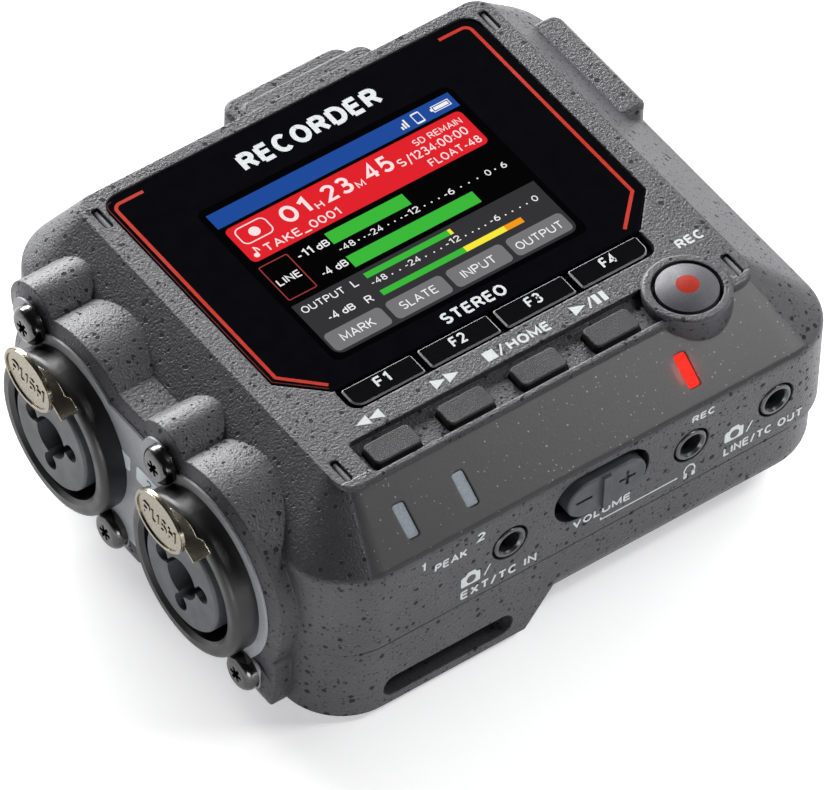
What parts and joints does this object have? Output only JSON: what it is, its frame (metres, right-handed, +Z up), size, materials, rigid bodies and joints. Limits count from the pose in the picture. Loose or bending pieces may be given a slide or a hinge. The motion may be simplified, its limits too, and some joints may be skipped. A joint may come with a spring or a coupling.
{
  "type": "portable field recorder",
  "caption": "Palm-sized battery audio recorder with a colour display, soft keys, combination input sockets on the left and small sockets in front.",
  "frame": {"origin": "on the surface it stands on, under the middle of the whole recorder's footprint", "axes": "+X to the right and -Y towards the user, who reads the display from the front; +Z up"},
  "size_m": [0.0996, 0.0806, 0.0377],
  "materials": {
    "case_plastic": "textured",
    "display_glass": "gloss",
    "gloss_key": "gloss",
    "inner_plastic": "matte",
    "key_plastic": "fine grain",
    "record_cap": "satin",
    "record_red": "satin",
    "rubber": "matte",
    "circuit_board": "satin",
    "flex_film": "satin",
    "light_lens": "satin",
    "record_lens": "satin",
    "nickel": "polished",
    "screw_steel": "satin",
    "connector_panel": "satin",
    "connector_plastic": "satin",
    "brass": "satin",
    "jack_plastic": "satin",
    "battery_wrap": "gloss"
  },
  "bodies": {
    "case": {"battery_cell_1": "battery_wrap", "battery_cell_2": "battery_wrap", "battery_cell_3": "battery_wrap", "battery_cell_4": "battery_wrap", "battery_contacts": "nickel", "battery_tray": "inner_plastic", "camera_in_jack": "jack_plastic", "card_socket": "nickel", "case_screws": "screw_steel", "connector_contacts_1": "brass", "connector_contacts_2": "brass", "connector_insert_1": "connector_plastic", "connector_insert_2": "connector_plastic", "connector_plate": "connector_panel", "connector_screws": "screw_steel", "connector_shell_1": "connector_plastic", "connector_shell_2": "connector_plastic", "corner_pins": "nickel", "display_window": "display_glass", "function_key_frame": "inner_plastic", "headphone_jack": "jack_plastic", "key_board": "circuit_board", "key_mat": "rubber", "lcd_flex": "flex_film", "lcd_module": "inner_plastic", "line_out_jack": "jack_plastic", "lower_case": "case_plastic", "main_board": "circuit_board", "peak_light_guides": "light_lens", "preamp_board": "circuit_board", "record_light_guide": "record_lens", "rocker_bracket": "inner_plastic", "rocker_switches": "inner_plastic", "rubber_feet": "rubber", "tripod_insert": "brass", "upper_case": "case_plastic", "usb_socket": "nickel"},
    "function_key_1_body": {"function_key_1": "gloss_key"},
    "function_key_2_body": {"function_key_2": "gloss_key"},
    "function_key_3_body": {"function_key_3": "gloss_key"},
    "function_key_4_body": {"function_key_4": "gloss_key"},
    "rewind_key_body": {"rewind_key": "key_plastic"},
    "forward_key_body": {"forward_key": "key_plastic"},
    "stop_key_body": {"stop_key": "key_plastic"},
    "play_key_body": {"play_key": "key_plastic"},
    "record_body": {"record_button": "record_cap", "record_mark": "record_red"},
    "rocker_body": {"volume_rocker": "key_plastic"},
    "latch_1_body": {"release_latch_1": "nickel"},
    "latch_2_body": {"release_latch_2": "nickel"},
    "slider_body": {"power_slider": "key_plastic"},
    "card_cover_body": {"card_cover": "key_plastic"},
    "battery_door_body": {"battery_door": "key_plastic"}
  },
  "joints": [
    {"name": "function_key_1_press", "type": "slide", "parent": "case", "child": "function_key_1_body", "axis": [0, 0, -1], "range_m": [0, 0.0004], "stiffness_N_per_m": 600},
    {"name": "function_key_2_press", "type": "slide", "parent": "case", "child": "function_key_2_body", "axis": [0, 0, -1], "range_m": [0, 0.0004], "stiffness_N_per_m": 600},
    {"name": "function_key_3_press", "type": "slide", "parent": "case", "child": "function_key_3_body", "axis": [0, 0, -1], "range_m": [0, 0.0004], "stiffness_N_per_m": 600},
    {"name": "function_key_4_press", "type": "slide", "parent": "case", "child": "function_key_4_body", "axis": [0, 0, -1], "range_m": [0, 0.0004], "stiffness_N_per_m": 600},
    {"name": "rewind_key_press", "type": "slide", "parent": "case", "child": "rewind_key_body", "axis": [0, 0, -1], "range_m": [0, 0.0004], "stiffness_N_per_m": 600},
    {"name": "forward_key_press", "type": "slide", "parent": "case", "child": "forward_key_body", "axis": [0, 0, -1], "range_m": [0, 0.0004], "stiffness_N_per_m": 600},
    {"name": "stop_key_press", "type": "slide", "parent": "case", "child": "stop_key_body", "axis": [0, 0, -1], "range_m": [0, 0.0004], "stiffness_N_per_m": 600},
    {"name": "play_key_press", "type": "slide", "parent": "case", "child": "play_key_body", "axis": [0, 0, -1], "range_m": [0, 0.0004], "stiffness_N_per_m": 600},
    {"name": "record_press", "type": "slide", "parent": "case", "child": "record_body", "axis": [0, 0, -1], "range_m": [0, 0.0004], "stiffness_N_per_m": 600},
    {"name": "volume_rock", "type": "hinge", "parent": "case", "child": "rocker_body", "pos_m": [0.0064, -0.0357, 0.023], "axis": [0, 0, 1], "range_deg": [-2.5, 2.5], "stiffness_Nm_per_rad": 0.02},
    {"name": "latch_1_push", "type": "slide", "parent": "case", "child": "latch_1_body", "axis": [1, 0, 0], "range_m": [0, 0.0015], "stiffness_N_per_m": 900},
    {"name": "latch_2_push", "type": "slide", "parent": "case", "child": "latch_2_body", "axis": [1, 0, 0], "range_m": [0, 0.0015], "stiffness_N_per_m": 900},
    {"name": "power_slide", "type": "slide", "parent": "case", "child": "slider_body", "axis": [0, 1, 0], "range_m": [-0.0025, 0.0025]},
    {"name": "card_cover_hinge", "type": "hinge", "parent": "case", "child": "card_cover_body", "pos_m": [0.04805, -0.018, 0.01975], "axis": [0, 1, 0], "range_deg": [0, 100]},
    {"name": "battery_door_slide", "type": "slide", "parent": "case", "child": "battery_door_body", "axis": [1, 0, 0], "range_m": [0, 0.045]}
  ]
}
